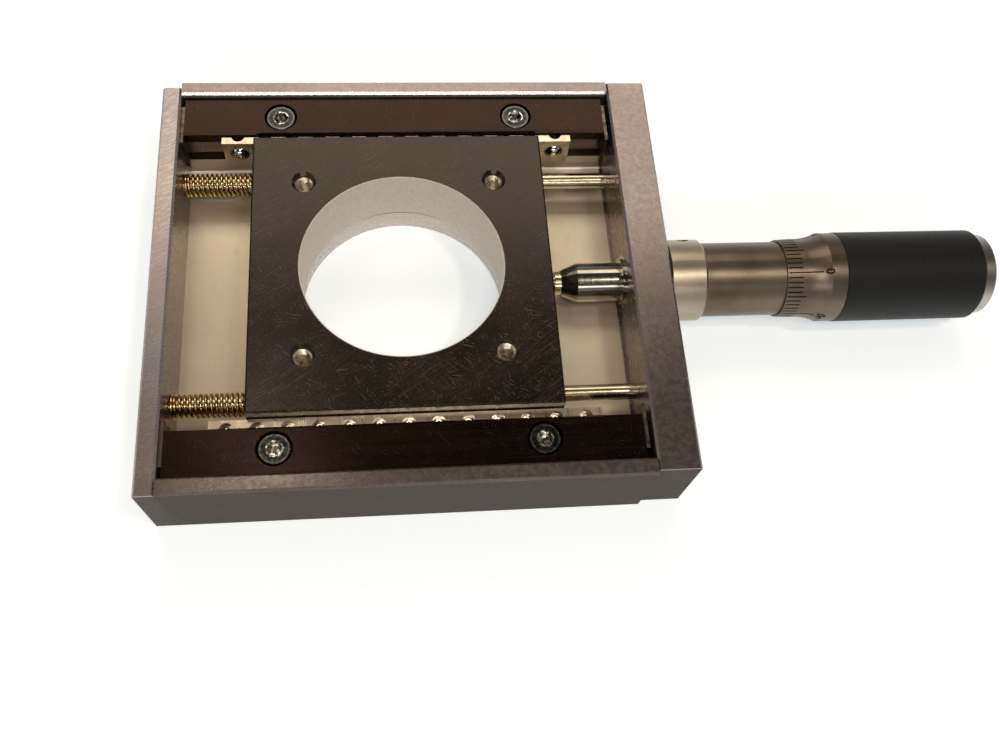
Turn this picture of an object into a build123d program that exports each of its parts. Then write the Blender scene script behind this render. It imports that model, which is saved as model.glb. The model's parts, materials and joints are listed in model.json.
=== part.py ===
from build123d import *
import math
import os

# Micrometer-driven linear translation stage with a clear aperture, ball-guided.
# Millimetres. Origin: on the aperture's axis at the base's bottom face.
# +X runs along the travel towards the micrometer, +Y to the back wall, +Z up.
# The carriage stands at the middle of its travel.

os.makedirs("parts", exist_ok=True)

# ---- driving dimensions ----
running_gap = 0.03            # radial clearance of parts that slide or turn
travel = 12.5                 # carriage travel each way from the middle

body_left = -41.0             # body's ends along X
body_right = 41.9
body_half_y = 41.4
body_height = 18.0
wall_thickness = 3.0
floor_thickness = 5.0
seat_height = 8.8             # top of the step that each rail lies on
seat_inner_y = 30.1
wall_edge_chamfer = 0.4
floor_fillet_r = 1.2          # inside corner between the floor and each rail seat
base_hole_r = 19.4

left_plate_thickness = 3.5
left_plate_back_y = 39.9
right_plate_thickness = 7.6
right_plate_front_y = -40.7
right_plate_back_y = 40.8

rail_inner_y = 29.9
rail_height = 8.0
rail_left = -40.4
rail_right = 40.6
rail_screw_y = 33.75
rail_screw_spacing = 45.5
rail_screw_mid_x = 0.45

carriage_half_x = 27.15
carriage_half_y = 27.95
carriage_bottom = 6.7
carriage_top = 18.5
aperture_r = 18.4
bolt_square = 35.36           # four holes on a 50 mm circle
bolt_tap_r = 1.65             # M4 tapping hole
bolt_sink_r = 2.25

ball_r = 1.75
ball_z = 12.8
ball_count = 13
ball_pitch = 5.1
ball_y = (rail_inner_y + carriage_half_y) / 2
groove_reach = (ball_r + running_gap) * math.sqrt(2)

cage_mid_x = 0.2
cage_length = 67.2
cage_height = 6.5
cage_thickness = 1.5
stop_thickness = 0.6

rod_r = 1.5
rod_y = 22.95
rod_z = 10.0
rod_left = -43.5
rod_right = 45.1
spring_wire_r = 0.275
spring_mean_r = 1.975
pocket_r = 2.6
pocket_depth = 16.0
spring_sleeve_gap = 0.1

drive_z = 9.6                 # height of the micrometer's axis
right_face = body_right + right_plate_thickness

stem_r = 5.0                  # fixed barrel that guides the spindle
barrel_lip_r = 4.4            # its front end, which stands out of the right plate
barrel_lip_left = 41.3
collar_r = 7.8
collar_end = 56.8
sleeve_r = 7.1
sleeve_end = 86.0
nut_r = 6.8
nut_end = 89.5
barrel_end = 90.0

spindle_r = 3.7
spindle_nose_r = 2.45
spindle_nose_left = 29.9
spindle_full_left = 32.8
thread_start = 60.0
thread_r = 3.2
thread_seat_left = thread_start + travel + 1.5     # the barrel's threaded stretch
spindle_tail_left = 104.0
spindle_tail_r = 2.6
spindle_tail_end = 108.0

thimble_start = 72.2
thimble_edge_r = 7.45
thimble_band_end = 76.0
thimble_band_r = 7.6
thimble_flare_end = 80.5
thimble_full_r = 8.6
thimble_shoulder = 83.5
thimble_core_r = 7.9
thimble_bore_r = 7.15
thimble_floor = barrel_end + travel + 1.1          # inner face of the thimble's end wall
grip_r = 8.7
grip_end = 111.5
cap_r = 7.75
cap_end = 113.9

rail_screw_r = 1.5            # M3 socket cap screws hold the rails
rail_screw_head_r = 2.75
rail_screw_head_height = 3.0
rail_screw_hole_depth = 6.5

plate_screw_r = 1.25          # M2.5 socket cap screws hold the end plates
plate_screw_head_r = 2.25
plate_screw_head_height = 2.5
plate_screw_hole_depth = 8.0
plate_screw_spots = [(-35.5, 4.6), (-14.0, 2.6), (14.0, 2.6), (35.5, 4.6)]


def save(piece, name):
    """Label a finished piece and write it as its own STEP file."""
    piece.label = name
    export_step(piece, f"parts/{name}.step")


def across(x, y=0.0, z=0.0):
    """Plane at X = x whose normal is +X, with local x along +Y and local y along +Z."""
    return Plane(origin=(x, y, z), x_dir=(0, 1, 0), z_dir=(1, 0, 0))


def side_names():
    """Back and front, with the sign of Y on which each stands."""
    return (("back", 1), ("front", -1))


# ---- base: a one-piece U body with rail seats and the aperture's clearance hole ----
body_length = body_right - body_left
wall_inner_y = body_half_y - wall_thickness
base_tap_depth = 4.0

with BuildPart() as base_body:
    with BuildSketch(across(body_left)):
        with BuildLine():
            Polyline(
                (-body_half_y, 0),
                (body_half_y, 0),
                (body_half_y, body_height),
                (wall_inner_y, body_height),
                (wall_inner_y, seat_height),
                (seat_inner_y, seat_height),
                (seat_inner_y, floor_thickness),
                (-seat_inner_y, floor_thickness),
                (-seat_inner_y, seat_height),
                (-wall_inner_y, seat_height),
                (-wall_inner_y, body_height),
                (-body_half_y, body_height),
                close=True,
            )
        make_face()
    extrude(amount=body_length)
    wall_tops = base_body.edges().filter_by(Axis.X).group_by(Axis.Z)[-1]
    chamfer(wall_tops, wall_edge_chamfer)
    long_edges = base_body.edges().filter_by(Axis.X)
    floor_edges = long_edges.filter_by_position(Axis.Z, floor_thickness, floor_thickness)
    fillet(floor_edges, floor_fillet_r)
    with Locations((0, 0, 0)):
        Hole(radius=base_hole_r, depth=3 * floor_thickness)
    # mounting holes in the bottom face, tapped from below
    with BuildSketch(Plane.XY):
        with GridLocations(bolt_square, bolt_square, 2, 2):
            Circle(bolt_tap_r)
    extrude(amount=base_tap_depth, mode=Mode.SUBTRACT)
    # rail screw holes, tapped down into the seats
    for side in (1, -1):
        with BuildSketch(Plane.XY.offset(seat_height)):
            with Locations((rail_screw_mid_x, side * rail_screw_y)):
                with GridLocations(rail_screw_spacing, 1, 2, 1):
                    Circle(rail_screw_r)
        extrude(amount=-rail_screw_hole_depth, mode=Mode.SUBTRACT)
    # end plate screw holes, along X from both ends
    for end, inward in ((body_left, 1), (body_right, -1)):
        with BuildSketch(across(end)):
            with Locations(*plate_screw_spots):
                Circle(plate_screw_r)
        extrude(amount=inward * plate_screw_hole_depth, mode=Mode.SUBTRACT)
save(base_body.part, "base_body")


# ---- end plates, which close the U and carry the guide rods ----
rod_ends = [(-rod_y, rod_z), (rod_y, rod_z)]


def end_plate(front_y, back_y, left_x, thickness):
    """Blank plate, standing across the stage from left_x, with its long edges broken."""
    with BuildPart() as plate:
        with BuildSketch(across(left_x)):
            with Locations(((front_y + back_y) / 2, body_height / 2)):
                Rectangle(back_y - front_y, body_height)
        extrude(amount=thickness)
        top_edges = plate.edges().filter_by(Axis.Y).group_by(Axis.Z)[-1]
        chamfer(top_edges, wall_edge_chamfer)
    return plate.part


left_face = body_left - left_plate_thickness
with BuildPart() as left_end_plate:
    add(end_plate(-body_half_y, left_plate_back_y, left_face, left_plate_thickness))
    with BuildSketch(across(body_left)):
        with Locations(*rod_ends):
            Circle(rod_r)
    extrude(amount=rod_left - body_left, mode=Mode.SUBTRACT)
    with BuildSketch(across(left_face)):
        with Locations(*plate_screw_spots):
            Circle(plate_screw_r)
    extrude(amount=left_plate_thickness, mode=Mode.SUBTRACT)
    with BuildSketch(across(left_face)):
        with Locations(*plate_screw_spots):
            Circle(plate_screw_head_r)
    extrude(amount=plate_screw_head_height, mode=Mode.SUBTRACT)
save(left_end_plate.part, "left_end_plate")

right_head_seat = right_face - plate_screw_head_height - 0.3
with BuildPart() as right_end_plate:
    add(end_plate(right_plate_front_y, right_plate_back_y, body_right, right_plate_thickness))
    with BuildSketch(across(body_right)):
        with Locations(*rod_ends):
            Circle(rod_r)
    extrude(amount=rod_right - body_right, mode=Mode.SUBTRACT)
    with BuildSketch(across(body_right)):
        with Locations((0, drive_z)):
            Circle(stem_r)
    extrude(amount=right_plate_thickness, mode=Mode.SUBTRACT)
    with BuildSketch(across(body_right)):
        with Locations(*plate_screw_spots):
            Circle(plate_screw_r)
    extrude(amount=right_plate_thickness, mode=Mode.SUBTRACT)
    with BuildSketch(across(right_head_seat)):
        with Locations(*plate_screw_spots):
            Circle(plate_screw_head_r)
    extrude(amount=right_face - right_head_seat, mode=Mode.SUBTRACT)
save(right_end_plate.part, "right_end_plate")


def cap_screw(shank_r, head_r, head_height, shank_length, socket_flats):
    """Socket cap screw with its head's underside at the origin and its shank down -Z."""
    with BuildPart() as screw:
        with BuildSketch():
            Circle(head_r)
        extrude(amount=head_height)
        rim = screw.edges().group_by(Axis.Z)[-1]
        chamfer(rim, 0.06 * head_r)
        with BuildSketch(Plane.XY.offset(head_height)):
            RegularPolygon(radius=socket_flats / 2, side_count=6, major_radius=False)
        extrude(amount=-0.55 * head_height, mode=Mode.SUBTRACT)
        with BuildSketch():
            Circle(shank_r)
        extrude(amount=-shank_length)
        tip = screw.edges().group_by(Axis.Z)[0]
        chamfer(tip, 0.3 * shank_r)
    return screw.part


plate_screw_shank = 5.5
plate_screw = cap_screw(
    plate_screw_r, plate_screw_head_r, plate_screw_head_height, plate_screw_shank, 2.0
)
left_screw_seat = left_face + plate_screw_head_height
left_screws = [
    Plane(origin=(left_screw_seat, y, z), z_dir=(-1, 0, 0)) * plate_screw
    for y, z in plate_screw_spots
]
save(Compound(children=left_screws), "left_plate_screws")

right_plate_screw = cap_screw(
    plate_screw_r,
    plate_screw_head_r,
    plate_screw_head_height,
    plate_screw_shank + right_head_seat - body_right,
    2.0,
)
right_screws = [
    Plane(origin=(right_head_seat, y, z), z_dir=(1, 0, 0)) * right_plate_screw
    for y, z in plate_screw_spots
]
save(Compound(children=right_screws), "right_plate_screws")


# ---- rails, their screws and end stops ----
rail_outer_y = wall_inner_y
rail_top = seat_height + rail_height
rail_sink_r = 3.1
rail_sink_depth = 3.2
rail_edge_chamfer = 0.35
rail_screws_x = [
    rail_screw_mid_x - rail_screw_spacing / 2,
    rail_screw_mid_x + rail_screw_spacing / 2,
]


def rail(side):
    """Rail of one side, with its V groove facing the carriage and two sunk screw holes."""
    apex_y = ball_y + groove_reach
    groove_half = apex_y - rail_inner_y
    with BuildPart() as bar:
        with BuildSketch(across(rail_left)):
            with BuildLine():
                Polyline(
                    (rail_inner_y, seat_height),
                    (rail_outer_y, seat_height),
                    (rail_outer_y, rail_top),
                    (rail_inner_y, rail_top),
                    (rail_inner_y, ball_z + groove_half),
                    (apex_y, ball_z),
                    (rail_inner_y, ball_z - groove_half),
                    close=True,
                )
            make_face()
        extrude(amount=rail_right - rail_left)
        top_edges = bar.edges().filter_by(Axis.X).group_by(Axis.Z)[-1]
        chamfer(top_edges, rail_edge_chamfer)
        with BuildSketch(Plane.XY.offset(rail_top)):
            with Locations(*[(x, rail_screw_y) for x in rail_screws_x]):
                Circle(rail_sink_r)
        extrude(amount=-rail_sink_depth, mode=Mode.SUBTRACT)
        with BuildSketch(Plane.XY.offset(rail_top)):
            with Locations(*[(x, rail_screw_y) for x in rail_screws_x]):
                Circle(rail_screw_r)
        extrude(amount=-rail_height, mode=Mode.SUBTRACT)
    return bar.part if side > 0 else mirror(bar.part, about=Plane.XZ)


rail_screw = cap_screw(
    rail_screw_r,
    rail_screw_head_r,
    rail_screw_head_height,
    rail_height - rail_sink_depth + 5.5,
    2.5,
)


def rail_stop(side, left_x):
    """Thin plate across one end of a rail, standing in the way of the ball cage."""
    inner_y = ball_y - cage_thickness / 2 - 0.2
    outer_y = rail_screw_y + 2.5
    low_z = ball_z - cage_height / 2 - 0.3
    with BuildPart() as plate:
        with BuildSketch(across(left_x)):
            with Locations((side * (inner_y + outer_y) / 2, (low_z + rail_top) / 2)):
                Rectangle(outer_y - inner_y, rail_top - low_z)
        extrude(amount=stop_thickness)
    return plate.part


for name, side in side_names():
    save(rail(side), f"{name}_rail")
    screws = [
        Pos(x, side * rail_screw_y, rail_top - rail_sink_depth) * rail_screw
        for x in rail_screws_x
    ]
    save(Compound(children=screws), f"{name}_rail_screws")
    stops = [rail_stop(side, rail_left - stop_thickness), rail_stop(side, rail_right)]
    save(Compound(children=stops), f"{name}_rail_end_stops")


# ---- ball cages and balls, one row each side ----
ball_hole_r = ball_r + 0.05
scallop_r = 1.25
scallop_depth = 1.0
cage_line_width = 0.16
cage_line_depth = 0.12
balls_x = [(i - (ball_count - 1) / 2) * ball_pitch for i in range(ball_count)]


def cage(side):
    """Flat strip with a round hole for each ball, open at the top on the rail's side, and a line along its middle."""
    inner_face = ball_y - cage_thickness / 2
    with BuildPart() as strip:
        with BuildSketch(Plane.XZ.offset(-inner_face)):
            with Locations((cage_mid_x, ball_z)):
                Rectangle(cage_length, cage_height)
            with Locations(*[(cage_mid_x + x, ball_z) for x in balls_x]):
                Circle(ball_hole_r, mode=Mode.SUBTRACT)
        extrude(amount=-cage_thickness)
        scallop_y = inner_face + cage_thickness - scallop_depth + scallop_r
        with BuildSketch(Plane.XY.offset(ball_z + cage_height / 2)):
            with Locations(*[(cage_mid_x + x, scallop_y) for x in balls_x]):
                Circle(scallop_r)
        extrude(amount=-cage_height / 2, mode=Mode.SUBTRACT)
        with BuildSketch(Plane.XZ.offset(-inner_face)):
            with Locations((cage_mid_x, ball_z)):
                Rectangle(cage_length, cage_line_width)
        extrude(amount=-cage_line_depth, mode=Mode.SUBTRACT)
    return strip.part if side > 0 else mirror(strip.part, about=Plane.XZ)


with BuildPart() as ball:
    Sphere(ball_r)

for name, side in side_names():
    save(cage(side), f"{name}_cage")
    row = [Pos(cage_mid_x + x, side * ball_y, ball_z) * ball.part for x in balls_x]
    save(Compound(children=row), f"{name}_balls")


# ---- carriage: black block with the aperture, the V grooves and the rod bores ----
carriage_edge_chamfer = 0.3
plug_r = 1.5
plug_x = -0.7
plug_y = 24.6
plug_depth = 2.0
button_r = 2.2
button_length = 3.0
carriage_groove_y = ball_y - groove_reach
carriage_groove_half = carriage_half_y - carriage_groove_y

with BuildPart() as carriage:
    with BuildSketch(across(-carriage_half_x)):
        with BuildLine():
            Polyline(
                (-carriage_half_y, carriage_bottom),
                (carriage_half_y, carriage_bottom),
                (carriage_half_y, ball_z - carriage_groove_half),
                (carriage_groove_y, ball_z),
                (carriage_half_y, ball_z + carriage_groove_half),
                (carriage_half_y, carriage_top),
                (-carriage_half_y, carriage_top),
                (-carriage_half_y, ball_z + carriage_groove_half),
                (-carriage_groove_y, ball_z),
                (-carriage_half_y, ball_z - carriage_groove_half),
                close=True,
            )
        make_face()
    extrude(amount=2 * carriage_half_x)
    chamfer(carriage.faces().sort_by(Axis.Z)[-1].edges(), carriage_edge_chamfer)
    with BuildSketch(Plane.XY.offset(carriage_top)):
        Circle(aperture_r)
        with GridLocations(bolt_square, bolt_square, 2, 2):
            Circle(bolt_tap_r)
    extrude(amount=-(carriage_top - carriage_bottom), mode=Mode.SUBTRACT)
    sink_depth = bolt_sink_r - bolt_tap_r
    with BuildSketch(Plane.XY.offset(carriage_top)):
        with GridLocations(bolt_square, bolt_square, 2, 2):
            Circle(bolt_sink_r)
    extrude(amount=-sink_depth, taper=45, mode=Mode.SUBTRACT)
    with BuildSketch(Plane.XY.offset(carriage_top)):
        with Locations((plug_x, plug_y)):
            Circle(plug_r)
    extrude(amount=-plug_depth, mode=Mode.SUBTRACT)
    # rod bores right through, with a spring pocket at the left end of each
    with BuildSketch(across(-carriage_half_x)):
        with Locations(*rod_ends):
            Circle(rod_r + running_gap)
    extrude(amount=2 * carriage_half_x, mode=Mode.SUBTRACT)
    with BuildSketch(across(-carriage_half_x)):
        with Locations(*rod_ends):
            Circle(pocket_r)
    extrude(amount=pocket_depth, mode=Mode.SUBTRACT)
    # seat of the button that the micrometer pushes on
    with BuildSketch(across(carriage_half_x)):
        with Locations((0, drive_z)):
            Circle(button_r)
    extrude(amount=-button_length, mode=Mode.SUBTRACT)
save(carriage.part, "carriage")

with BuildPart() as carriage_plug:
    with BuildSketch(Plane.XY.offset(carriage_top - plug_depth)):
        with Locations((plug_x, plug_y)):
            Circle(plug_r)
    extrude(amount=plug_depth)
save(carriage_plug.part, "carriage_plug")

with BuildPart() as anvil_button:
    with BuildSketch(across(carriage_half_x - button_length)):
        with Locations((0, drive_z)):
            Circle(button_r)
    extrude(amount=button_length)
save(anvil_button.part, "anvil_button")


# ---- guide rods and return springs ----
spring_left = body_left
spring_right = -carriage_half_x + pocket_depth
spring_inner_r = rod_r + spring_sleeve_gap
spring_outer_r = spring_mean_r + spring_wire_r

for name, side in side_names():
    with BuildPart() as guide_rod:
        with BuildSketch(across(rod_left)):
            with Locations((side * rod_y, rod_z)):
                Circle(rod_r)
        extrude(amount=rod_right - rod_left)
        chamfer(guide_rod.edges().filter_by(GeomType.CIRCLE), 0.3)
    save(guide_rod.part, f"{name}_guide_rod")

    with BuildPart() as spring:
        with BuildSketch(across(spring_left)):
            with Locations((side * rod_y, rod_z)):
                Circle(spring_outer_r)
                Circle(spring_inner_r, mode=Mode.SUBTRACT)
        extrude(amount=spring_right - spring_left)
    save(spring.part, f"{name}_return_spring")


# ---- micrometer: fixed barrel, collar, sleeve and adjusting nut ----
drive_axis = Axis((0, 0, drive_z), (1, 0, 0))
drive_plane = Plane(origin=(0, 0, drive_z), x_dir=(1, 0, 0), z_dir=(0, -1, 0))


def turned(profile):
    """Solid of revolution about the micrometer's axis from (x, radius) points."""
    with BuildPart() as piece:
        with BuildSketch(drive_plane):
            with BuildLine():
                Polyline(*profile, close=True)
            make_face()
        revolve(axis=drive_axis)
    return piece.part


barrel = turned([
    (barrel_lip_left, spindle_r + running_gap),
    (thread_seat_left, spindle_r + running_gap),
    (thread_seat_left, thread_r + running_gap),
    (barrel_end, thread_r + running_gap),
    (barrel_end, stem_r),
    (body_right, stem_r),
    (body_right, barrel_lip_r),
    (barrel_lip_left, barrel_lip_r),
])
save(barrel, "barrel")

set_screw_x = 53.5
set_screw_r = 1.15
set_screw_tilt = math.radians(38)
set_screw_recess = 0.6
set_screw_plane = Plane(
    origin=(set_screw_x, 0, drive_z),
    x_dir=(1, 0, 0),
    z_dir=(0, math.cos(set_screw_tilt), math.sin(set_screw_tilt)),
)
collar_edge = 0.5
with BuildPart() as collar:
    add(turned([
        (right_face, stem_r),
        (collar_end, stem_r),
        (collar_end, collar_r - collar_edge),
        (collar_end - collar_edge, collar_r),
        (right_face + collar_edge, collar_r),
        (right_face, collar_r - collar_edge),
    ]))
    with BuildSketch(set_screw_plane.offset(stem_r - 0.5)):
        Circle(set_screw_r)
    extrude(amount=collar_r, mode=Mode.SUBTRACT)
save(collar.part, "collar")

set_screw_length = collar_r - set_screw_recess - stem_r - 0.02
with BuildPart() as collar_set_screw:
    with BuildSketch(set_screw_plane.offset(stem_r + 0.02)):
        Circle(set_screw_r)
    extrude(amount=set_screw_length)
    with BuildSketch(set_screw_plane.offset(stem_r + 0.02 + set_screw_length)):
        RegularPolygon(radius=0.6, side_count=6, major_radius=False)
    extrude(amount=-1.2, mode=Mode.SUBTRACT)
save(collar_set_screw.part, "collar_set_screw")

save(turned([
    (collar_end, stem_r),
    (sleeve_end, stem_r),
    (sleeve_end, sleeve_r - 0.3),
    (sleeve_end - 0.3, sleeve_r),
    (collar_end, sleeve_r),
]), "sleeve")

save(turned([
    (sleeve_end, stem_r),
    (nut_end, stem_r),
    (nut_end, nut_r),
    (sleeve_end, nut_r),
]), "adjusting_nut")


# ---- micrometer: spindle, its ball tip and the thimble ----
tip_stem_r = 1.0
tip_stem_end = 33.0
tip_ball_r = 1.7
tip_disc_r = 2.25
tip_disc_left = 28.7
tip_gap = 0.02
tip_ball_x = carriage_half_x + tip_gap + tip_ball_r

tip_rim_r = math.sqrt(tip_ball_r**2 - (tip_ball_x - tip_disc_left) ** 2)

with BuildPart() as ball_tip:
    with BuildSketch(drive_plane):
        with BuildLine():
            ThreePointArc(
                (tip_ball_x - tip_ball_r, 0),
                (tip_ball_x - tip_ball_r * math.sqrt(0.5), tip_ball_r * math.sqrt(0.5)),
                (tip_disc_left, tip_rim_r),
            )
            Polyline(
                (tip_disc_left, tip_rim_r),
                (tip_disc_left, tip_disc_r),
                (spindle_nose_left - running_gap, tip_disc_r),
                (spindle_nose_left - running_gap, tip_stem_r),
                (tip_stem_end, tip_stem_r),
                (tip_stem_end, 0),
                (tip_ball_x - tip_ball_r, 0),
            )
        make_face()
    revolve(axis=drive_axis)
save(ball_tip.part, "ball_tip")

screw_r = 1.5
screw_head_r = 2.75
screw_head_height = 3.0
screw_length = 6.0
save(turned([
    (spindle_nose_left, tip_stem_r + running_gap),
    (spindle_nose_left, spindle_nose_r),
    (spindle_full_left, spindle_r),
    (thread_start, spindle_r),
    (thread_start, thread_r),
    (spindle_tail_left, thread_r),
    (spindle_tail_left, spindle_tail_r),
    (spindle_tail_end, spindle_tail_r),
    (spindle_tail_end, screw_r),
    (spindle_tail_end - screw_length, screw_r),
    (spindle_tail_end - screw_length, 0),
    (tip_stem_end + 0.5, 0),
    (tip_stem_end + 0.5, tip_stem_r + running_gap),
]), "spindle")

head_pocket_r = 3.2
flare_mid_x = thimble_band_end + 0.55 * (thimble_flare_end - thimble_band_end)
flare_mid_r = thimble_band_r + 0.28 * (thimble_full_r - thimble_band_r)
with BuildPart() as thimble:
    with BuildSketch(drive_plane):
        with BuildLine():
            Polyline(
                (thimble_flare_end, thimble_full_r),
                (thimble_shoulder, thimble_full_r),
                (thimble_shoulder, thimble_core_r),
                (grip_end, thimble_core_r),
                (grip_end, head_pocket_r),
                (spindle_tail_end, head_pocket_r),
                (spindle_tail_end, spindle_tail_r),
                (spindle_tail_left, spindle_tail_r),
                (spindle_tail_left, thread_r + 0.3),
                (thimble_floor, thread_r + 0.3),
                (thimble_floor, thimble_bore_r),
                (thimble_start, thimble_bore_r),
                (thimble_start, thimble_edge_r),
                (thimble_band_end, thimble_band_r),
            )
            ThreePointArc(
                (thimble_band_end, thimble_band_r),
                (flare_mid_x, flare_mid_r),
                (thimble_flare_end, thimble_full_r),
            )
        make_face()
    revolve(axis=drive_axis)
save(thimble.part, "thimble")

grip_edge = 0.6
save(turned([
    (thimble_shoulder, thimble_core_r),
    (grip_end, thimble_core_r),
    (grip_end, grip_r - grip_edge),
    (grip_end - grip_edge, grip_r),
    (thimble_shoulder + 0.2, grip_r),
    (thimble_shoulder, grip_r - 0.2),
]), "grip")

cap_edge = 0.4
save(turned([
    (grip_end, 0),
    (grip_end, cap_r),
    (cap_end - cap_edge, cap_r),
    (cap_end, cap_r - cap_edge),
    (cap_end, 0),
]), "end_cap")

thimble_screw = cap_screw(screw_r, screw_head_r, screw_head_height, screw_length, 2.5)
screw_seat = Plane(origin=(spindle_tail_end, 0, drive_z), z_dir=(1, 0, 0))
save(screw_seat * thimble_screw, "thimble_screw")
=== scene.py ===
"""Looks for the micrometer-driven linear stage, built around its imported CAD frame. Metres."""

import json
import math

import bmesh
import bpy
from mathutils import Matrix, Vector


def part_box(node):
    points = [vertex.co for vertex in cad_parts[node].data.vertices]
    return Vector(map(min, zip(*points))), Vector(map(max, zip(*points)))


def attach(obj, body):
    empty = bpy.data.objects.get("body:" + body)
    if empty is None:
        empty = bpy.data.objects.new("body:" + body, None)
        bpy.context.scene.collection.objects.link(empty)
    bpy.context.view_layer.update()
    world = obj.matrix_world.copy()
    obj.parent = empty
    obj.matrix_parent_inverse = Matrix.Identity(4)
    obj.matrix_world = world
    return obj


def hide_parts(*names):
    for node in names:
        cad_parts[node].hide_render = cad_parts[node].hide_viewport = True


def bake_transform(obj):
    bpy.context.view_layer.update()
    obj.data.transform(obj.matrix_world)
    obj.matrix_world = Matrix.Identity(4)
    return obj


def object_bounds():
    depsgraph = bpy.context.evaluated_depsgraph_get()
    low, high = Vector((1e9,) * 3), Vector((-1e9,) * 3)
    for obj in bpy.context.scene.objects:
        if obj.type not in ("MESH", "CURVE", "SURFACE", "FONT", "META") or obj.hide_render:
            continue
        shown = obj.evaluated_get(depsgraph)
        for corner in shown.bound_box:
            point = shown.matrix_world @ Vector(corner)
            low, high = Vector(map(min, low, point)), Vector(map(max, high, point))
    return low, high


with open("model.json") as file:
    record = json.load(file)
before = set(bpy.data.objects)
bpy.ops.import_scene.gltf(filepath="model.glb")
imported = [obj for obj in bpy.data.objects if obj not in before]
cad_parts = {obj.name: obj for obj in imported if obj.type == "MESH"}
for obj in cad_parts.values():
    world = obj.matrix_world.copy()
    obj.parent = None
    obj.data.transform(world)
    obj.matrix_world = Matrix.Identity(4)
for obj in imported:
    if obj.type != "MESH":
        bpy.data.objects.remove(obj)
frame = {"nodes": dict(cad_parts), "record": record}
cad_low, cad_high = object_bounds()
MM = 0.001


# ---- places read from the frame ----
def low(node):
    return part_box(node)[0]


def high(node):
    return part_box(node)[1]


carriage_low, carriage_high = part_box("carriage")
thimble_low, thimble_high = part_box("thimble")
sleeve_low, sleeve_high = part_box("sleeve")
axis_z = (thimble_low.z + thimble_high.z) / 2
rod_z = (low("back_guide_rod").z + high("back_guide_rod").z) / 2
rod_y = (low("back_guide_rod").y + high("back_guide_rod").y) / 2
screws_low, screws_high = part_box("back_rail_screws")
screw_head_r = (screws_high.y - screws_low.y) / 2
screw_y = (screws_high.y + screws_low.y) / 2
screw_middle = (screws_high.x + screws_low.x) / 2
screw_half = (screws_high.x - screws_low.x) / 2 - screw_head_r
left_face_x = low("left_end_plate").x
right_face_x = high("right_end_plate").x
mounts = {m["name"]: m for m in frame["record"]["mounts"]}
bolt_half = mounts["carriage_bolts"]["dims"]["spacing_x_mm"] / 2 * MM
bolt_r = mounts["carriage_bolts"]["dims"]["hole_r_mm"] * MM
aperture_r = mounts["aperture"]["dims"]["r_mm"] * MM
base_hole_r = mounts["base_aperture"]["dims"]["r_mm"] * MM

# where the body's finish, its painted shade and its painted highlights change, in metres: (start, end) of
# each blend
SIDE_TOP_Z = (0.0175, 0.0176)       # upper end of the outer faces that carry painted shade
SIDE_Y = (0.0404, 0.0406)           # outward from here are the long outer faces
END_FACE = (0.0001, 0.0002)         # depth of the skin of painted shade on the outer end faces
INNER_WALL_Y = (0.0301, 0.0306)     # the inner floor ends here, at the two walls
INNER_END_X = (0.0413, 0.0416)      # the inner floor ends here, at the two end plates
ABOVE_FLOOR_Z = (0.0046, 0.0049)    # just under the inner floor's surface
EDGE_STRIP_IN = (0.03834, 0.03837)  # painted highlight: a bright strip along the back wall's top edge
EDGE_STRIP_OUT = (0.03879, 0.03882)  # and where it ends
EDGE_STRIP_Z = (0.01690, 0.01695)
FOOT_STRIP_Y = (0.0284, 0.0285)     # painted highlight: a bright strip of the floor at the foot of each inner wall
FOOT_STRIP_LOW = (0.0046, 0.0047)
FOOT_STRIP_HIGH = (0.0052, 0.0053)
BORE_SKIN = (0.00013, 0.00018)      # how far beyond its radius the aperture's wall still looks bare
HOLE_SKIN = (0.00003, 0.00008)      # the same for the smaller holes


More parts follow.
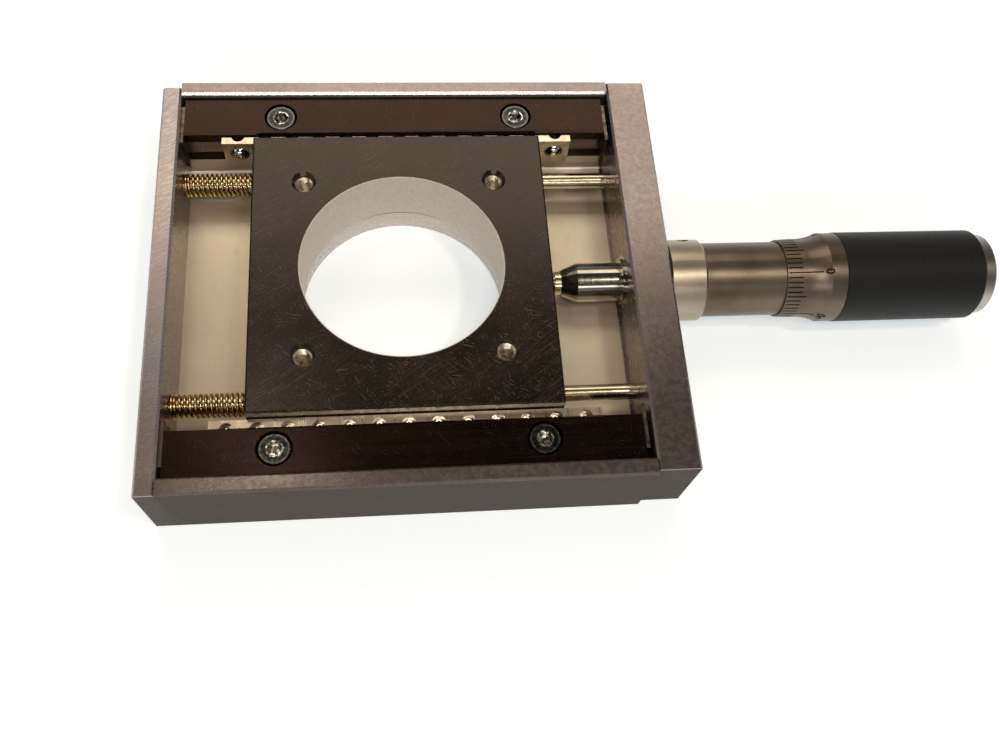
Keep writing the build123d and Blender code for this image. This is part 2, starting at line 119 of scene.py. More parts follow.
# ---- materials ----
class Finish:
    """A Principled material in the making, with short ways to add its nodes."""

    def __init__(self, name, colour, metallic, roughness, **sockets):
        self.material = bpy.data.materials.new(name)
        self.material.use_nodes = True
        self.tree = self.material.node_tree
        self.shader = self.tree.nodes["Principled BSDF"]
        self.shader.inputs["Base Color"].default_value = (*colour, 1)
        self.shader.inputs["Metallic"].default_value = metallic
        self.shader.inputs["Roughness"].default_value = roughness
        for socket, value in sockets.items():
            self.shader.inputs[socket.replace("_", " ")].default_value = value
        self.place = self.node("ShaderNodeTexCoord").outputs["Object"]
        self.normal = None

    def node(self, kind, **settings):
        made = self.tree.nodes.new(kind)
        for key, value in settings.items():
            setattr(made, key, value)
        return made

    def put(self, value, socket):
        """Link an output to a socket, or set the socket's own value."""
        if isinstance(value, bpy.types.NodeSocket):
            self.tree.links.new(value, socket)
        else:
            socket.default_value = value

    def stretched(self, scale, turn=0.0):
        """Coordinates scaled by axis, turned about Z first."""
        turned = self.node("ShaderNodeMapping", vector_type="TEXTURE")
        turned.inputs["Rotation"].default_value = (0, 0, turn)
        self.put(self.place, turned.inputs["Vector"])
        scaled = self.node("ShaderNodeMapping")
        scaled.inputs["Scale"].default_value = scale
        self.put(turned.outputs["Vector"], scaled.inputs["Vector"])
        return scaled.outputs["Vector"]

    def noise(self, scale, detail=3.0, rough=0.5, vector=None):
        made = self.node("ShaderNodeTexNoise")
        made.inputs["Scale"].default_value = scale
        made.inputs["Detail"].default_value = detail
        made.inputs["Roughness"].default_value = rough
        self.put(vector or self.place, made.inputs["Vector"])
        return made.outputs["Fac"]

    def cells(self, scale, vector=None):
        """Distance to the nearest random point."""
        made = self.node("ShaderNodeTexVoronoi")
        made.inputs["Scale"].default_value = scale
        self.put(vector or self.place, made.inputs["Vector"])
        return made.outputs["Distance"]

    def step(self, value, start, end, low_value=0.0, high_value=1.0):
        """Smooth change from low_value to high_value as value goes from start to end."""
        made = self.node("ShaderNodeMapRange", interpolation_type="SMOOTHSTEP")
        self.put(value, made.inputs["Value"])
        made.inputs["From Min"].default_value = start
        made.inputs["From Max"].default_value = end
        made.inputs["To Min"].default_value = low_value
        made.inputs["To Max"].default_value = high_value
        return made.outputs["Result"]

    def maths(self, operation, a, b=0.0):
        made = self.node("ShaderNodeMath", operation=operation)
        self.put(a, made.inputs[0])
        self.put(b, made.inputs[1])
        return made.outputs["Value"]

    def blend(self, share, a, b):
        """Colour a where share is 0, b where it is 1."""
        made = self.node("ShaderNodeMix", data_type="RGBA")
        self.put(share, made.inputs["Factor"])
        self.put(a if isinstance(a, bpy.types.NodeSocket) else (*a, 1), made.inputs[6])
        self.put(b if isinstance(b, bpy.types.NodeSocket) else (*b, 1), made.inputs[7])
        return made.outputs[2]

    def bump(self, height, depth, strength=1.0):
        """Adds one layer of relief, depth metres deep."""
        made = self.node("ShaderNodeBump")
        made.inputs["Strength"].default_value = strength
        made.inputs["Distance"].default_value = depth
        self.put(height, made.inputs["Height"])
        if self.normal is not None:
            self.put(self.normal, made.inputs["Normal"])
        self.normal = made.outputs["Normal"]
        self.put(self.normal, self.shader.inputs["Normal"])

    def colour(self, value):
        self.put(value, self.shader.inputs["Base Color"])

    def roughness(self, value):
        self.put(value, self.shader.inputs["Roughness"])

    def split(self):
        """X, Y and Z of the place."""
        made = self.node("ShaderNodeSeparateXYZ")
        self.put(self.place, made.inputs["Vector"])
        return made.outputs

    def most(self, first, *others):
        """The largest of several masks."""
        for other in others:
            first = self.maths("MAXIMUM", first, other)
        return first

    def all_of(self, first, *others):
        """Where all of several masks hold: their product."""
        for other in others:
            first = self.maths("MULTIPLY", first, other)
        return first

    def beyond(self, value, edge):
        """0 below the edge and 1 above it; edge is (start, end) of the change."""
        return self.step(value, edge[0], edge[1])

    def within(self, value, edge):
        """1 below the edge and 0 above it; edge is (start, end) of the change."""
        return self.step(value, edge[0], edge[1], 1.0, 0.0)

    def radius(self, a, b):
        return self.maths("SQRT", self.maths("ADD", self.squared(a), self.squared(b)))

    def squared(self, value):
        return self.maths("MULTIPLY", value, value)


def outer_sides(f):
    """Mask of the frame's vertical outer faces, where shade is painted: they are coloured darker and duller
    than the tops.
    """
    x, y, z = f.split()
    shallow, deep = END_FACE
    long_faces = f.beyond(f.maths("ABSOLUTE", y), SIDE_Y)
    right_face = f.beyond(x, (right_face_x - deep, right_face_x - shallow))
    left_face = f.within(x, (left_face_x + shallow, left_face_x + deep))
    return f.all_of(f.within(z, SIDE_TOP_Z), f.most(long_faces, right_face, left_face))


def anodised_finish():
    """Bead-blasted clear anodise, lilac outside and warmer on the floor between the walls, with painted
    shade on the outer vertical faces.
    """
    f = Finish("anodised_body", (0.26, 0.23, 0.23), 0.92, 0.4, Specular_IOR_Level=0.15)
    x, y, z = f.split()
    grain = f.noise(2600, 3, 0.6)
    tone = f.noise(45, 2)
    outer = f.blend(f.step(tone, 0.35, 0.65), (0.215, 0.183, 0.176), (0.262, 0.227, 0.212))
    floor = f.blend(f.step(tone, 0.35, 0.65), (0.58, 0.505, 0.39), (0.66, 0.58, 0.455))
    from_middle_y = f.maths("ABSOLUTE", y)
    inside_y = f.within(from_middle_y, INNER_WALL_Y)
    inside_x = f.within(f.maths("ABSOLUTE", x), INNER_END_X)
    inside = f.all_of(inside_x, inside_y, f.beyond(z, ABOVE_FLOOR_Z))
    plain = f.blend(inside, outer, floor)
    fleck = f.maths("MULTIPLY", f.step(grain, 0.30, 0.72, 0.0, 0.35), f.step(inside, 0.0, 1.0, 1.0, 0.3))
    speckled = f.blend(fleck, plain, (0.125, 0.100, 0.095))
    # painted glints: tiny bright specks in the colour stand for the sparkle of the blasted surface
    glints = f.step(f.cells(1100), 0.06, 0.20, 1.0, 0.0)
    blasted = f.blend(f.maths("MULTIPLY", glints, 0.25), speckled, (0.44, 0.40, 0.36))
    # painted highlight: a near-white strip along the back wall's top-edge chamfer
    strip_y = f.all_of(f.beyond(y, EDGE_STRIP_IN), f.within(y, EDGE_STRIP_OUT))
    strip = f.all_of(strip_y, inside_x, f.beyond(z, EDGE_STRIP_Z))
    # painted shade: the outer vertical faces are coloured dark brown and made less metallic
    shaded_sides = outer_sides(f)
    shaded = f.blend(shaded_sides, blasted, (0.068, 0.056, 0.046))
    # painted highlight: the floor at the foot of each inner wall is coloured near white and made less
    # metallic
    foot_z = f.all_of(f.beyond(z, FOOT_STRIP_LOW), f.within(z, FOOT_STRIP_HIGH))
    foot = f.all_of(f.beyond(from_middle_y, FOOT_STRIP_Y), inside_y, inside_x, foot_z)
    in_hole = f.within(f.radius(x, y), (base_hole_r + HOLE_SKIN[0], base_hole_r + HOLE_SKIN[1]))
    holed = f.blend(in_hole, shaded, (0.60, 0.54, 0.50))
    # both painted highlight strips get their near-white colour here
    f.colour(f.blend(f.most(strip, foot), holed, (0.92, 0.88, 0.80)))
    matte_bright = f.maths("MULTIPLY", f.most(in_hole, foot), 0.6)
    matte_inside = f.maths("MULTIPLY", inside, 0.28)
    matte_sides = f.maths("MULTIPLY", shaded_sides, 0.87)
    matte = f.most(matte_bright, matte_inside, matte_sides)
    f.put(f.maths("SUBTRACT", 0.88, matte), f.shader.inputs["Metallic"])
    f.put(f.step(shaded_sides, 0.0, 1.0, 0.15, 0.02), f.shader.inputs["Specular IOR Level"])
    blasting = f.step(f.noise(900, 2), 0.3, 0.7, 0.24, 0.30)
    f.roughness(f.maths("ADD", blasting, f.maths("MULTIPLY", f.most(inside, shaded_sides), 0.12)))
    f.bump(f.noise(3200, 2, 0.6), 0.000004, 0.25)
    return f.material


def brushed_plate_finish():
    """The left plate: the same anodise over slanting brush marks, with painted shade on its outer vertical
    faces.
    """
    f = Finish("anodised_brushed", (0.22, 0.2, 0.2), 0.92, 0.4, Specular_IOR_Level=0.15)
    streaks = f.noise(1, 3, 0.6, f.stretched((600, 5200, 900), math.radians(32)))
    tone = f.noise(60, 2)
    plain = f.blend(f.step(tone, 0.35, 0.65), (0.27, 0.232, 0.24), (0.34, 0.295, 0.285))
    streaked = f.blend(f.step(streaks, 0.42, 0.68, 0.0, 0.5), plain, (0.40, 0.375, 0.36))
    # painted shade: the plate's outer vertical faces are coloured dark brown and made less metallic
    shaded_sides = outer_sides(f)
    f.colour(f.blend(shaded_sides, streaked, (0.068, 0.056, 0.047)))
    f.put(f.step(shaded_sides, 0.0, 1.0, 0.92, 0.01), f.shader.inputs["Metallic"])
    f.put(f.step(shaded_sides, 0.0, 1.0, 0.15, 0.02), f.shader.inputs["Specular IOR Level"])
    f.roughness(f.step(streaks, 0.3, 0.7, 0.34, 0.25))
    f.bump(streaks, 0.00001, 0.4)
    return f.material


# swirls: centre x and y in metres, radians of ring per metre; nicks: turn, cells per metre, share
SWIRLS = ((-0.06, -0.035, 8200), (0.07, 0.05, 7300), (-0.01, -0.09, 9400))
NICKS = ((0.55, 620, 0.9), (-0.5, 500, 0.7), (1.2, 430, 0.6), (-0.95, 820, 0.8), (0.2, 900, 0.6))


def scratched_black(f, strength=1.0):
    """Swirls, hairlines and short nicks rubbed through a black surface. Returns their mask."""
    x, y, _ = f.split()
    warp = f.noise(160, 2)
    masks = []
    for centre_x, centre_y, ring_scale in SWIRLS:
        away = f.radius(f.maths("SUBTRACT", x, centre_x), f.maths("SUBTRACT", y, centre_y))
        rings = f.maths("MULTIPLY", f.maths("ADD", away, f.maths("MULTIPLY", warp, 0.004)), ring_scale)
        line = f.step(f.maths("SINE", rings), 0.86, 0.99)
        patches = f.noise(230 + ring_scale / 40, 4, 0.7)
        masks.append(f.maths("MULTIPLY", line, f.step(patches, 0.55, 0.68)))
    for turn, spread, share in NICKS:
        nicks = f.cells(1, f.stretched((spread, spread * 7, 300), turn))
        masks.append(f.step(nicks, 0.04, 0.13, share, 0.0))
    return f.maths("MULTIPLY", f.most(*masks), strength)


def carriage_finish():
    """Black anodise, scuffed on top, with bare metal in the aperture and dark roots in the tapped holes."""
    f = Finish(
        "carriage_black", (0.02, 0.016, 0.015), 0.0, 0.34,
        Specular_IOR_Level=0.38, Specular_Tint=(1.0, 0.86, 0.74, 1.0),
    )
    x, y, _ = f.split()
    wear_and_glint = scratched_black(f)
    cloud = f.noise(95, 4, 0.6)
    base = f.blend(f.step(cloud, 0.35, 0.7), (0.0045, 0.0031, 0.0025), (0.0140, 0.0094, 0.0070))
    scuffed = f.blend(f.maths("MULTIPLY", wear_and_glint, 0.32), base, (0.26, 0.19, 0.14))
    bare = f.within(f.radius(x, y), (aperture_r + BORE_SKIN[0], aperture_r + BORE_SKIN[1]))
    fold_x = f.maths("SUBTRACT", f.maths("ABSOLUTE", x), bolt_half)
    fold_y = f.maths("SUBTRACT", f.maths("ABSOLUTE", y), bolt_half)
    in_hole = f.within(f.radius(fold_x, fold_y), (bolt_r + HOLE_SKIN[0], bolt_r + HOLE_SKIN[1]))
    blasted = f.blend(f.step(f.noise(2600, 3), 0.3, 0.7), (0.47, 0.43, 0.38), (0.58, 0.54, 0.48))
    hairlines = f.noise(1, 4, 0.7, f.stretched((260, 5200, 900), 0.62))
    across_hair = f.noise(1, 4, 0.7, f.stretched((300, 4300, 900), -0.75))
    haze_along = f.all_of(f.step(f.noise(70, 3, 0.6), 0.42, 0.62), f.step(hairlines, 0.50, 0.68))
    haze_across = f.all_of(f.step(f.noise(55, 3, 0.6), 0.50, 0.66), f.step(across_hair, 0.52, 0.70))
    haze = f.maths("MULTIPLY", f.most(haze_along, haze_across), 0.22)
    hazed = f.blend(haze, scuffed, (0.22, 0.165, 0.125))
    rooted = f.blend(in_hole, hazed, (0.035, 0.028, 0.020))
    f.colour(f.blend(bare, rooted, blasted))
    rough = f.step(f.maths("ADD", f.maths("MULTIPLY", cloud, 0.6), wear_and_glint), 0.2, 1.2, 0.22, 0.38)
    f.roughness(f.most(rough, f.maths("MULTIPLY", bare, 0.45)))
    f.put(f.maths("MULTIPLY", bare, 0.55), f.shader.inputs["Metallic"])
    f.bump(wear_and_glint, -0.000012, 0.5)
    f.bump(f.noise(1800, 2), 0.000008, 0.35)
    return f.material


def rail_finish():
    """Dark hardened steel, ground along its length and nicked by use."""
    f = Finish(
        "rail_steel", (0.03, 0.015, 0.012), 0.4, 0.25,
        Specular_IOR_Level=0.34, Specular_Tint=(1.0, 0.68, 0.50, 1.0),
    )
    grind = f.noise(1, 4, 0.65, f.stretched((60, 4200, 4200)))
    cloud = f.noise(70, 3, 0.6)
    wear_and_glint = scratched_black(f, 0.8)
    base = f.blend(f.step(cloud, 0.3, 0.7), (0.0030, 0.0014, 0.0010), (0.0080, 0.0038, 0.0027))
    lined = f.blend(f.step(grind, 0.35, 0.7, 0.0, 0.45), base, (0.013, 0.0070, 0.0050))
    f.colour(f.blend(f.maths("MULTIPLY", wear_and_glint, 0.22), lined, (0.20, 0.15, 0.12)))
    f.roughness(f.step(grind, 0.3, 0.7, 0.17, 0.27))
    f.bump(grind, 0.000008, 0.4)
    return f.material


def lined_metal(name, dark, bright, rough, along="x", scale=5200):
    """Metal with fine lines round it that follow each other along X, or outward on an end face."""
    f = Finish(name, bright, 1.0, rough)
    x, y, z = f.split()
    if along == "x":
        across = f.maths("MULTIPLY", x, scale)
    else:
        across = f.maths("MULTIPLY", f.radius(y, f.maths("SUBTRACT", z, axis_z)), scale)
    stack = f.node("ShaderNodeCombineXYZ")
    f.put(across, stack.inputs["X"])
    lines = f.noise(1, 3, 0.7, stack.outputs["Vector"])
    tone = f.noise(120, 3, 0.6)
    grain = f.noise(4200, 2, 0.6)
    base = f.blend(f.step(tone, 0.3, 0.7), dark, bright)
    f.colour(f.blend(f.step(grain, 0.35, 0.75, 0.0, 0.25), base, dark))
    wear = f.maths("ADD", lines, f.maths("MULTIPLY", grain, 0.3))
    f.roughness(f.step(wear, 0.4, 0.9, rough - 0.07, rough + 0.09))
    f.bump(lines, 0.000006, 0.45)
    return f.material


def polished_metal(name, colour, rough, tarnish):
    """Bright metal with faint clouding."""
    f = Finish(name, colour, 1.0, rough)
    cloud = f.noise(420, 3, 0.6)
    f.colour(f.blend(f.step(cloud, 0.4, 0.75, 0.0, 0.55), colour, tarnish))
    f.roughness(f.step(f.noise(900, 3), 0.3, 0.75, rough * 0.7, rough * 1.7))
    f.bump(f.noise(3000, 2), 0.000003, 0.3)
    return f.material


HEAD_EDGE_R = (0.00218, 0.00240)    # outward from here is a head's rounded edge
SOCKET_R = (0.00140, 0.00155)       # within this is its socket


def cap_screw_finish():
    """Blued socket caps: pale rounded edge, dark face, and a painted glint in the socket."""
    f = Finish("cap_screw", (0.10, 0.10, 0.10), 1.0, 0.28)
    x, y, _ = f.split()
    across = f.maths("SUBTRACT", f.maths("ABSOLUTE", f.maths("SUBTRACT", x, screw_middle)), screw_half)
    away = f.radius(across, f.maths("SUBTRACT", f.maths("ABSOLUTE", y), screw_y))
    cloud = f.noise(700, 3, 0.6)
    face = f.blend(f.step(cloud, 0.35, 0.7), (0.018, 0.020, 0.020), (0.05, 0.053, 0.051))
    rimmed = f.blend(f.beyond(away, HEAD_EDGE_R), face, (0.10, 0.106, 0.10))
    # painted glint: the socket is coloured bright in patches, where its bottom catches the light
    wear_and_glint = f.blend(f.step(f.noise(1400, 2), 0.45, 0.6), (0.10, 0.10, 0.095), (0.80, 0.78, 0.74))
    f.colour(f.blend(f.within(away, SOCKET_R), rimmed, wear_and_glint))
    f.roughness(f.step(f.noise(1500, 3), 0.3, 0.7, 0.20, 0.36))
    f.bump(f.noise(2600, 2), 0.000006, 0.35)
    return f.material


def grip_finish():
    """Matte black grip with a fine moulded grain and a little dust."""
    f = Finish("black_grip", (0.012, 0.013, 0.014), 0.0, 0.5, Specular_IOR_Level=0.25)
    grain = f.noise(3400, 3, 0.65)
    pits = f.cells(2200)
    dust = f.step(f.cells(700), 0.02, 0.07, 0.5, 0.0)
    base = f.blend(f.step(grain, 0.35, 0.7), (0.005, 0.0055, 0.006), (0.013, 0.0135, 0.014))
    f.colour(f.blend(dust, base, (0.09, 0.095, 0.09)))
    f.roughness(f.step(grain, 0.3, 0.7, 0.42, 0.62))
    f.bump(grain, 0.00003, 0.6)
    f.bump(pits, 0.00002, 0.4)
    return f.material


def ink_finish():
    """Black filling of the engraved lines and numerals."""
    f = Finish("engraving_ink", (0.006, 0.005, 0.004), 0.0, 0.7, Specular_IOR_Level=0.1)
    f.colour(f.blend(f.noise(5000, 2), (0.003, 0.0025, 0.002), (0.010, 0.008, 0.006)))
    return f.material


anodised = anodised_finish()
brushed = brushed_plate_finish()
carriage_black = carriage_finish()
rail_steel = rail_finish()
satin = lined_metal("satin_chrome", (0.125, 0.100, 0.076), (0.180, 0.147, 0.115), 0.36)
# collar: brighter than the sleeve's satin, partly a brighter finish and partly a painted highlight
collar_metal = lined_metal("collar_metal", (0.34, 0.292, 0.230), (0.48, 0.42, 0.335), 0.36)
satin_face = lined_metal("satin_face", (0.36, 0.33, 0.31), (0.52, 0.49, 0.46), 0.3, "radius", 4200)
ground = lined_metal("ground_steel", (0.55, 0.50, 0.43), (0.78, 0.73, 0.66), 0.16, "x", 2600)
rod_steel = lined_metal("rod_steel", (0.44, 0.38, 0.27), (0.66, 0.58, 0.43), 0.2, "x", 2600)
spindle_steel = lined_metal("spindle_steel", (0.26, 0.24, 0.20), (0.42, 0.39, 0.33), 0.15, "x", 2600)
cage_metal = lined_metal("cage_metal", (0.50, 0.41, 0.30), (0.68, 0.58, 0.45), 0.30, "x", 700)
ball_steel = polished_metal("ball_steel", (0.80, 0.79, 0.78), 0.07, (0.55, 0.52, 0.48))
spring_gold = polished_metal("spring_wire", (0.80, 0.56, 0.25), 0.2, (0.42, 0.24, 0.09))
cap_screw = cap_screw_finish()
screw_steel = polished_metal("screw_steel", (0.20, 0.205, 0.205), 0.28, (0.08, 0.08, 0.078))
stop_steel = polished_metal("stop_steel", (0.12, 0.10, 0.08), 0.35, (0.07, 0.055, 0.045))
thread_metal = polished_metal("thread_metal", (0.90, 0.80, 0.62), 0.30, (0.60, 0.50, 0.34))
nut_brass = polished_metal("nut_brass", (0.74, 0.56, 0.27), 0.26, (0.46, 0.31, 0.13))
grip_black = grip_finish()
ink = ink_finish()

node_finish = {
    "base_body": anodised,
    "left_end_plate": brushed,
    "right_end_plate": anodised,
    "left_plate_screws": screw_steel,
    "right_plate_screws": screw_steel,
    "barrel": spindle_steel,
    "collar": collar_metal,
    "collar_set_screw": screw_steel,
    "sleeve": satin,
    "adjusting_nut": nut_brass,
    "carriage": carriage_black,
    "carriage_plug": carriage_black,
    "anvil_button": ground,
    "ball_tip": rod_steel,
    "spindle": spindle_steel,
    "thimble": satin,
    "grip": grip_black,
    "end_cap": satin_face,
    "thimble_screw": screw_steel,
}
for side in ("back", "front"):
    node_finish[f"{side}_rail"] = rail_steel
    node_finish[f"{side}_rail_screws"] = cap_screw
    node_finish[f"{side}_rail_end_stops"] = stop_steel
    node_finish[f"{side}_guide_rod"] = rod_steel
    node_finish[f"{side}_cage"] = cage_metal
    node_finish[f"{side}_balls"] = ball_steel

for name, finish in node_finish.items():
    frame["nodes"][name].data.materials.clear()
    frame["nodes"][name].data.materials.append(finish)


# ---- mesh helpers ----
def piece(name, points, faces, finish, smooth=True):
    """New mesh object from points in metres."""
    mesh = bpy.data.meshes.new(name)
    mesh.from_pydata([tuple(p) for p in points], [], faces)
    mesh.materials.append(finish)
    mesh.polygons.foreach_set("use_smooth", [smooth] * len(mesh.polygons))
    made = bpy.data.objects.new(name, mesh)
    bpy.context.scene.collection.objects.link(made)
    return made


def swept(rings):
    """Points and faces of equal closed rings joined in order, capped at both ends."""
    size = len(rings[0])
    points = [p for ring in rings for p in ring]
    faces = []
    for i in range(len(rings) - 1):
        for j in range(size):
            a = i * size + j
            b = i * size + (j + 1) % size
            faces.append((a, b, b + size, a + size))
    last = (len(rings) - 1) * size
    faces.append(tuple(reversed(range(size))))
    faces.append(tuple(last + j for j in range(size)))
    return points, faces


# ---- return springs: real coils in place of the plain sleeves ----
WIRE_R = 0.25 * MM
COIL_TURNS = 34.0
CLOSED_TURNS = 1.25
STEPS_PER_TURN = 28
WIRE_SIDES = 10
BORE_GAP = 0.005 * MM               # the coil stays this far inside its CAD sleeve


def coil_distance(turn, length):
    """How far along the axis the wire's middle is after that many turns."""
    closed_pitch = 2.05 * WIRE_R
    open_turns = COIL_TURNS - 2 * CLOSED_TURNS
    open_pitch = (length - 2 * WIRE_R - 2 * CLOSED_TURNS * closed_pitch) / open_turns
    before = min(turn, CLOSED_TURNS)
    after = max(turn - COIL_TURNS + CLOSED_TURNS, 0)
    middle = turn - before - after
    return WIRE_R + closed_pitch * (before + after) + open_pitch * middle


def coil(name, node, y):
    """Round wire wound about a guide rod, with closed ends."""
    start, end = low(node).x, high(node).x
    mean_r = (high(node).z - low(node).z) / 2 - WIRE_R - BORE_GAP
    rings = []
    for i in range(int(COIL_TURNS * STEPS_PER_TURN) + 1):
        turn = i / STEPS_PER_TURN
        angle = 2 * math.pi * turn
        outward = Vector((0, math.cos(angle), math.sin(angle)))
        middle = Vector((start + coil_distance(turn, end - start), y, rod_z)) + outward * mean_r
        ring = []
        for k in range(WIRE_SIDES):
            around = 2 * math.pi * k / WIRE_SIDES
            radial = outward * math.cos(around) * WIRE_R
            axial = Vector((1, 0, 0)) * math.sin(around) * WIRE_R
            ring.append(middle + radial + axial)
        rings.append(ring)
    points, faces = swept(rings)
    made = piece(name, points, faces, spring_gold)
    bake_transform(made)
    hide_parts(node)


coil("back_spring_coil", "back_return_spring", rod_y)
coil("front_spring_coil", "front_return_spring", -rod_y)


# ---- screw threads in the tapped holes ----
THREAD_PITCH = 0.7 * MM
THREAD_DEPTH = 0.30 * MM
THREAD_STEPS = 26
THREAD_ROOT = 0.02 * MM             # how far a thread's foot reaches into the hole's wall
THREAD_FOOT = 0.42                  # half the width of a thread's foot, in pitches
THREAD_CREST = 0.1                  # the crest's width as a share of the foot's


def tapped_thread(x, y, z_start, z_end):
    """Rings of one V ridge that winds down the wall of a tapped hole."""
    turns = (z_end - z_start) / THREAD_PITCH
    foot = Vector((0, 0, THREAD_FOOT * THREAD_PITCH))
    crest = THREAD_CREST * foot
    outer_r = bolt_r + THREAD_ROOT
    inner_r = bolt_r - THREAD_DEPTH
    rings = []
    for i in range(int(turns * THREAD_STEPS) + 1):
        angle = 2 * math.pi * i / THREAD_STEPS
        z = z_start + THREAD_PITCH * i / THREAD_STEPS
        outward = Vector((math.cos(angle), math.sin(angle), 0))
        middle = Vector((x, y, z))
        rings.append([
            middle + outward * outer_r - foot,
            middle + outward * inner_r - crest,
            middle + outward * inner_r + crest,
            middle + outward * outer_r + foot,
        ])
    return swept(rings)


def threads(name, body, z_start, z_end):
    """The four threads of one bolt square, as one piece."""
    points, faces = [], []
    for sx in (-1, 1):
        for sy in (-1, 1):
            more, more_faces = tapped_thread(sx * bolt_half, sy * bolt_half, z_start, z_end)
            faces += [tuple(len(points) + k for k in face) for face in more_faces]
            points += more
    made = piece(name, points, faces, thread_metal, smooth=False)
    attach(made, body)


threads("carriage_threads", "carriage", carriage_low.z + 0.5 * MM, carriage_high.z - 1.0 * MM)
threads("base_threads", "base", 0.6 * MM, 3.6 * MM)


# ---- micrometer scales ----
ZERO_ANGLE = math.radians(111)      # where the thimble's zero line stands, from +Y towards +Z
DATUM_ANGLE = 0.0                   # where the sleeve's long line stands, measured the same way
DIVISIONS = 50
INK_LIFT = 0.012 * MM               # half the ink's thickness, across the metal's surface
LINE_STEPS = 10


def outer_profile(node):
    """Sorted (x, outer radius) of a turned CAD node."""
    widest = {}
    for vertex in frame["nodes"][node].data.vertices:
        key = round(vertex.co.x, 6)
        r = math.hypot(vertex.co.y, vertex.co.z - axis_z)
        widest[key] = max(widest.get(key, 0), r)
    return sorted(widest.items())


thimble_profile = outer_profile("thimble")
sleeve_profile = outer_profile("sleeve")


def radius_at(profile, x):
    for (x0, r0), (x1, r1) in zip(profile, profile[1:]):
        if x0 <= x <= x1:
            return r0 + (r1 - r0) * (x - x0) / max(x1 - x0, 1e-9)
    return profile[-1][1]


def on_turned(profile, x, angle, lift):
    """Point on a turned surface at x, angle round the axis, standing lift proud."""
    r = radius_at(profile, x) + lift
    return Vector((x, r * math.cos(angle), axis_z + r * math.sin(angle)))


def scale_line(profile, x_start, x_end, angle, width):
    """Thin closed strip that follows the turned surface along X."""
    rings = []
    for i in range(LINE_STEPS + 1):
        x = x_start + (x_end - x_start) * i / LINE_STEPS
        half = width / 2 / radius_at(profile, x)
        rings.append([
            on_turned(profile, x, angle - half, -INK_LIFT),
            on_turned(profile, x, angle - half, INK_LIFT),
            on_turned(profile, x, angle + half, INK_LIFT),
            on_turned(profile, x, angle + half, -INK_LIFT),
        ])
    return swept(rings)


def joined(name, parts, body):
    """One ink piece made of several closed strips."""
    points, faces = [], []
    for more, more_faces in parts:
        faces += [tuple(len(points) + k for k in face) for face in more_faces]
        points += more
    made = piece(name, points, faces, ink, smooth=False)
    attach(made, body)


def numeral(name, text, profile, x, angle, height, body):
    """Generic digits wrapped round the turned surface, their height along X."""
    curve = bpy.data.curves.new(name, "FONT")
    curve.body = text
    curve.size = height * 1.4
    curve.align_x = "CENTER"
    curve.align_y = "CENTER"
    curve.extrude = 0.5
    curve.offset = height * 0.035
    curve.resolution_u = 6
    shape = bpy.data.objects.new(name + "_shape", curve)
    bpy.context.scene.collection.objects.link(shape)
    bpy.context.view_layer.update()
    mesh = bpy.data.meshes.new_from_object(shape.evaluated_get(bpy.context.evaluated_depsgraph_get()))
    bpy.data.objects.remove(shape)
    for vertex in mesh.vertices:
        across, upward, lift = vertex.co
        place_x = x + upward
        place_angle = angle - across / radius_at(profile, place_x)
        vertex.co = on_turned(profile, place_x, place_angle, INK_LIFT if lift > 0 else -INK_LIFT)
    mesh.materials.clear()
    mesh.materials.append(ink)
    solid = bmesh.new()
    solid.from_mesh(mesh)
    bmesh.ops.remove_doubles(solid, verts=solid.verts, dist=1e-7)
    bmesh.ops.recalc_face_normals(solid, faces=solid.faces)
    solid.to_mesh(mesh)
    solid.free()
    made = bpy.data.objects.new(name, mesh)
    bpy.context.scene.collection.objects.link(made)
    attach(made, body)


TICK_SHORT = 3.0 * MM
TICK_MEDIUM = 3.9 * MM
TICK_LONG = 6.7 * MM
TICK_WIDTH = 0.24 * MM
edge_x = thimble_low.x + 0.15 * MM
lines = []
for n in range(DIVISIONS):
    tick_length = TICK_LONG if n % 10 == 0 else TICK_MEDIUM if n % 5 == 0 else TICK_SHORT
    angle = ZERO_ANGLE - 2 * math.pi * n / DIVISIONS
    lines.append(scale_line(thimble_profile, edge_x, thimble_low.x + tick_length, angle, TICK_WIDTH))
joined("thimble_divisions", lines, "thimble")
NUMERAL_HEIGHT = 1.55 * MM
for n in range(0, DIVISIONS, 10):
    angle = ZERO_ANGLE - 2 * math.pi * n / DIVISIONS
    numeral_x = thimble_low.x + TICK_LONG + 0.35 * MM + NUMERAL_HEIGHT / 2
    numeral(f"thimble_numeral_{n}", str(n), thimble_profile, numeral_x, angle, NUMERAL_HEIGHT, "thimble")

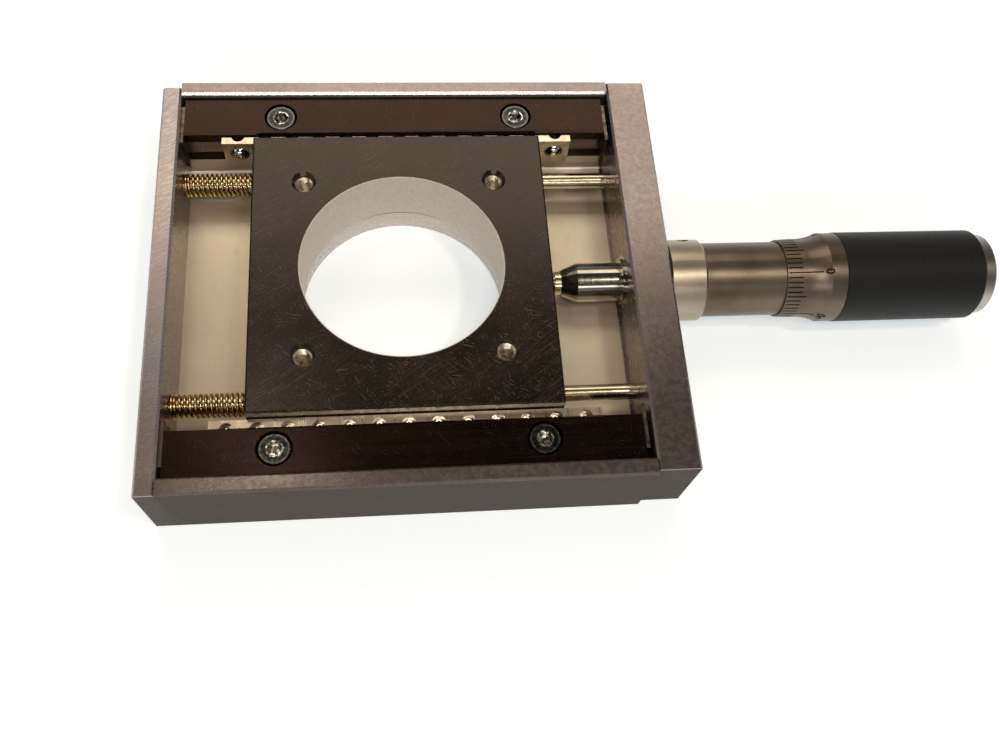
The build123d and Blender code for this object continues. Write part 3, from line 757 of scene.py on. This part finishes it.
SCALE_LENGTH = 25                   # whole millimetres on the sleeve
HALF_MM = 0.5 * MM
MARK_LONG = 2.0 * MM                # every fifth millimetre
MARK_WHOLE = 1.3 * MM
MARK_HALF = 1.0 * MM
MARK_STEPS = 6
MARK_HALF_WIDTH = 0.05 * MM
DATUM_WIDTH = 0.12 * MM
part_turn = (ZERO_ANGLE - DATUM_ANGLE) / (2 * math.pi) % 1
reading_now = 12.5 + 0.5 * part_turn
scale_zero = thimble_low.x - reading_now * MM
lines = [
    scale_line(sleeve_profile, scale_zero - 0.2 * MM, sleeve_high.x - 0.6 * MM, DATUM_ANGLE, DATUM_WIDTH)
]
for half_mm in range(2 * SCALE_LENGTH + 1):
    x = scale_zero + half_mm * HALF_MM
    if half_mm % 10 == 0:
        length = MARK_LONG
    elif half_mm % 2 == 0:
        length = MARK_WHOLE
    else:
        length = -MARK_HALF
    turn = length / sleeve_profile[0][1]
    tick = []
    for i in range(MARK_STEPS + 1):
        angle = DATUM_ANGLE + turn * i / MARK_STEPS
        tick.append([
            on_turned(sleeve_profile, x - MARK_HALF_WIDTH, angle, -INK_LIFT),
            on_turned(sleeve_profile, x - MARK_HALF_WIDTH, angle, INK_LIFT),
            on_turned(sleeve_profile, x + MARK_HALF_WIDTH, angle, INK_LIFT),
            on_turned(sleeve_profile, x + MARK_HALF_WIDTH, angle, -INK_LIFT),
        ])
    if x > sleeve_low.x + 0.3 * MM:
        lines.append(swept(tick))
joined("sleeve_scale", lines, "base")


# ---- camera, lights and floor ----
def aimed_camera():
    """Camera above and in front of the stage, looking down at it."""
    data = bpy.data.cameras.new("camera")
    data.sensor_width = 36
    data.lens = 35.95
    data.shift_y = -0.002
    data.clip_start = 0.01
    data.clip_end = 10
    made = bpy.data.objects.new("camera", data)
    bpy.context.scene.collection.objects.link(made)
    forward = Vector((0.1031296, 0.3969649, -0.9120215)).normalized()
    right = Vector((0.9941610, -0.0704067, 0.0817727)).normalized()
    up = right.cross(forward).normalized()
    turn = Matrix((right, up, -forward)).transposed().to_4x4()
    made.matrix_world = Matrix.Translation((-0.0017278, -0.0907052, 0.1759452)) @ turn
    bpy.context.scene.camera = made


def area_light(name, place, target, size, power, colour):
    """Rectangular lamp at place that faces target."""
    data = bpy.data.lights.new(name, "AREA")
    data.shape = "RECTANGLE"
    data.size, data.size_y = size
    data.energy = power
    data.color = colour
    made = bpy.data.objects.new(name, data)
    bpy.context.scene.collection.objects.link(made)
    made.location = place
    made.rotation_mode = "QUATERNION"
    made.rotation_quaternion = (Vector(target) - Vector(place)).to_track_quat("-Z", "Y")


aimed_camera()
area_light("key", (0.01, 0.335, 0.395), (0, 0.01, 0.01), (0.46, 0.20), 0.80, (1.0, 0.88, 0.72))
area_light("ceiling", (0.02, -0.22, 0.52), (0, 0, 0.01), (0.10, 0.10), 0.6, (1.0, 0.90, 0.76))
area_light("front_low", (0.0, -0.44, 0.34), (0, 0.03, 0.01), (0.40, 0.05), 0.5, (1.0, 0.96, 0.92))
area_light("left_fill", (-0.50, -0.05, 0.30), (0, 0, 0.01), (0.30, 0.25), 0.2, (1.0, 0.90, 0.78))
area_light("lamp_left", (-0.108, 0.163, 0.463), (-0.03, -0.02, 0.01), (0.07, 0.07), 0.03, (1.0, 0.89, 0.74))
area_light("bulb_left", (-0.083, 0.112, 0.49), (-0.02, -0.03, 0.02), (0.03, 0.03), 0.035, (1.0, 0.88, 0.72))
area_light("bulb_right", (0.34, -0.20, 0.93), (0.05, 0, 0.02), (0.09, 0.09), 1.6, (1.0, 0.90, 0.74))


def room():
    """World that is pale near the horizon and dark overhead, so flat tops don't glare."""
    made = bpy.data.worlds.new("room")
    made.use_nodes = True
    tree = made.node_tree
    place = tree.nodes.new("ShaderNodeTexCoord")
    split = tree.nodes.new("ShaderNodeSeparateXYZ")
    fade = tree.nodes.new("ShaderNodeMapRange")
    fade.interpolation_type = "SMOOTHSTEP"
    fade.inputs["From Min"].default_value = 0.05
    fade.inputs["From Max"].default_value = 0.65
    fade.inputs["To Min"].default_value = 0.6
    fade.inputs["To Max"].default_value = 0.05
    tree.links.new(place.outputs["Generated"], split.inputs["Vector"])
    tree.links.new(split.outputs["Z"], fade.inputs["Value"])
    tree.links.new(fade.outputs["Result"], tree.nodes["Background"].inputs["Strength"])
    tree.nodes["Background"].inputs["Color"].default_value = (0.96, 0.93, 0.92, 1)
    bpy.context.scene.world = made


room()
bpy.context.scene.view_settings.view_transform = "Standard"

FLOOR_REACH = 3.0                   # metres from the middle to each edge
floor_corners = [
    (side_x * FLOOR_REACH, side_y * FLOOR_REACH, cad_low.z)
    for side_x, side_y in ((-1, -1), (1, -1), (1, 1), (-1, 1))
]
floor_mesh = bpy.data.meshes.new("floor")
floor_mesh.from_pydata(floor_corners, [], [(0, 1, 2, 3)])
floor = bpy.data.objects.new("floor", floor_mesh)
bpy.context.scene.collection.objects.link(floor)
paper = Finish("pale_floor", (0.92, 0.92, 0.92), 0.0, 0.9)
paper.shader.inputs["Emission Color"].default_value = (0.86, 0.95, 1.0, 1)
paper.shader.inputs["Emission Strength"].default_value = 0.50
floor_mesh.materials.append(paper.material)
